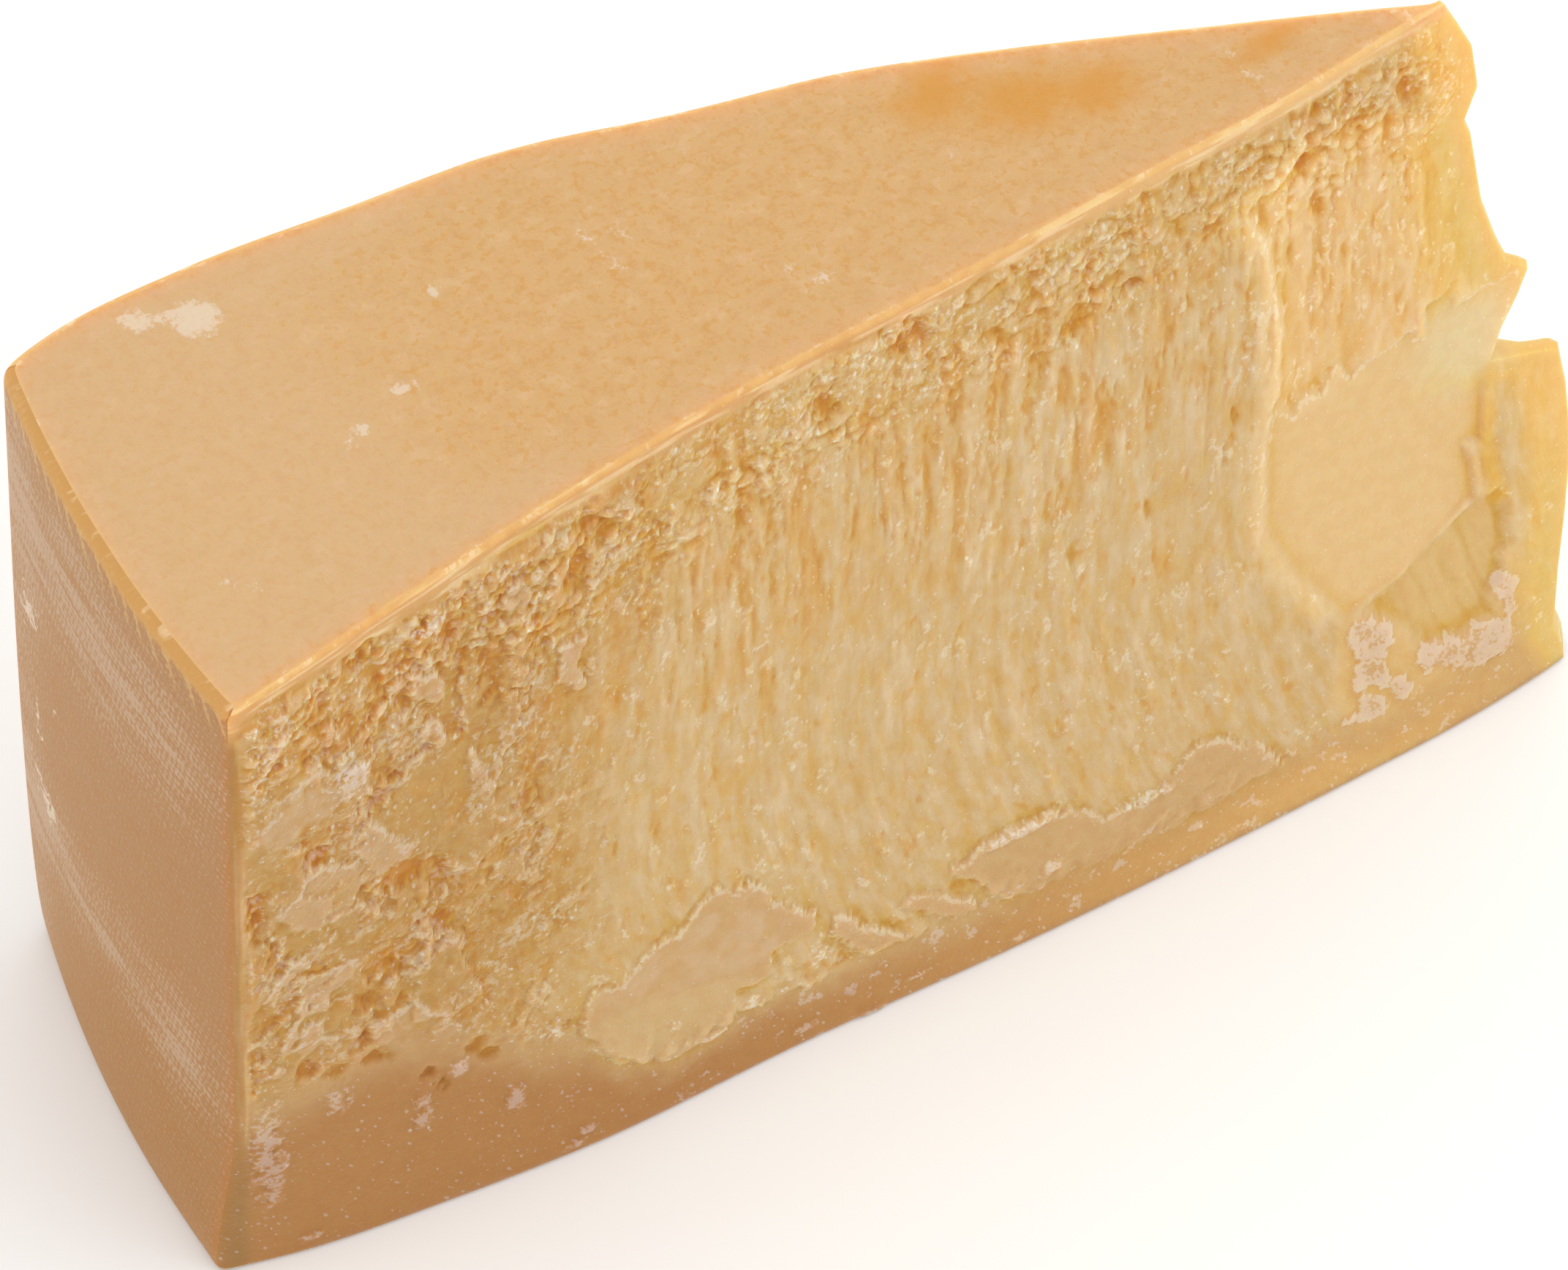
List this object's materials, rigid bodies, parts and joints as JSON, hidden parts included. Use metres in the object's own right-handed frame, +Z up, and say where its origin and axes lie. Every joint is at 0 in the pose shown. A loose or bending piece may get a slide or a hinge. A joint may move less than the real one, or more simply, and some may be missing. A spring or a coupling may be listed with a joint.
{
  "type": "sbrinz chunk",
  "caption": "Wedge of extra-hard cheese with a flat top and base rind, a stretch of round rim, and rough, flaked broken faces, standing on its base.",
  "frame": {"origin": "middle of the chunk's box in plan, at the flat base it stands on", "axes": "+Z up, +X from the rim towards the tip, -Y out of the broken face that the picture shows"},
  "size_m": [0.274, 0.093, 0.15],
  "materials": {
    "cheese": "matt broken hard paste with a smooth, faintly waxy brown rind"
  },
  "bodies": {
    "root": {"cheese_chunk": "cheese"}
  },
  "joints": []
}
